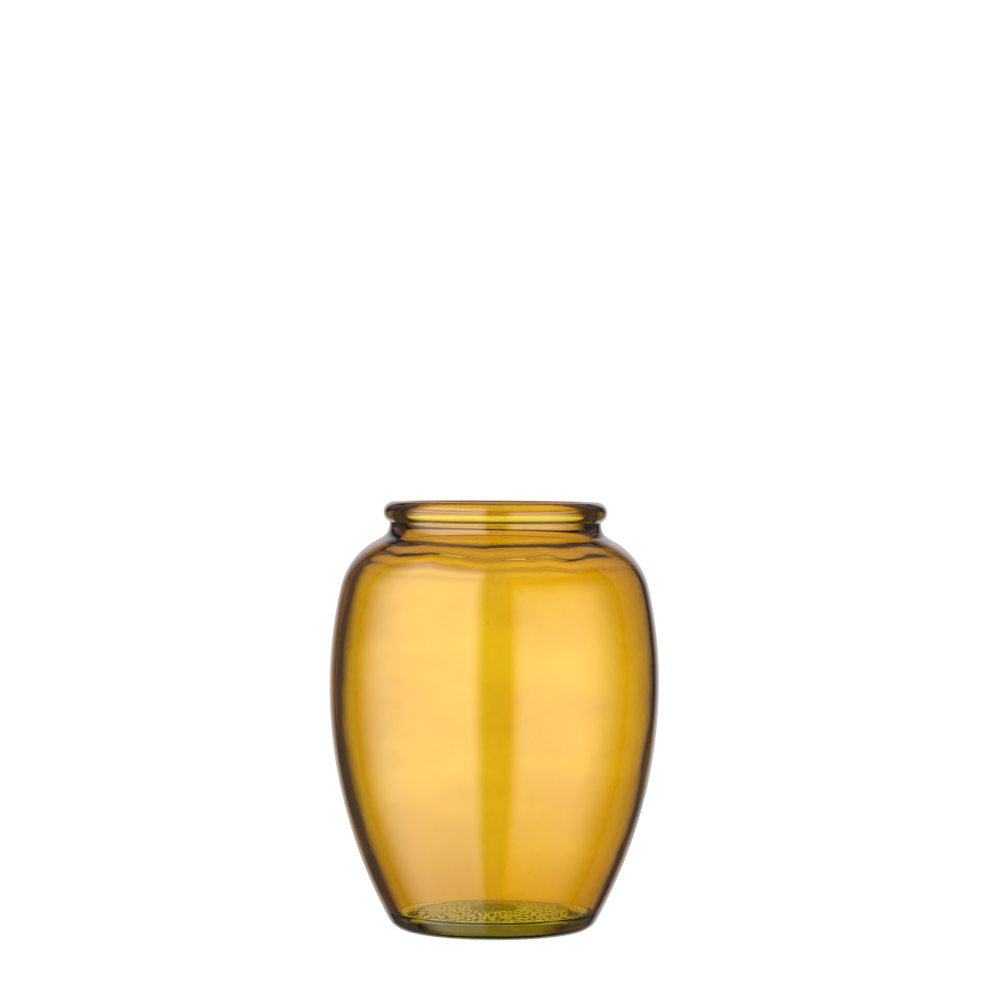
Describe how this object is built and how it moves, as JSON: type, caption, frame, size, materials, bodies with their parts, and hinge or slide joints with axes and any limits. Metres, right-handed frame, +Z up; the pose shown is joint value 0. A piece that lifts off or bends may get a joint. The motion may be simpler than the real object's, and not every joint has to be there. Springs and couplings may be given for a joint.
{
  "type": "vase",
  "caption": "Wide-mouthed, egg-shaped glass vase with a rolled lip and a short neck, its clear glass coated outside with translucent amber lacquer.",
  "frame": {"origin": "middle of the ring that the vase stands on", "axes": "+Z up along the vase's axis, towards the mouth; X and Y lie in the plane it stands on and are interchangeable"},
  "size_m": [0.108, 0.108, 0.1401],
  "materials": {
    "clear_glass": "clear soda-lime glass with a slight green tint, fire-polished and glossy, with an uneven wall",
    "amber_lacquer": "translucent golden amber lacquer, glossy, with a slightly cloudy, uneven depth of colour"
  },
  "bodies": {
    "root": {"glass_vessel": "clear_glass", "amber_coat": "amber_lacquer"}
  },
  "joints": []
}
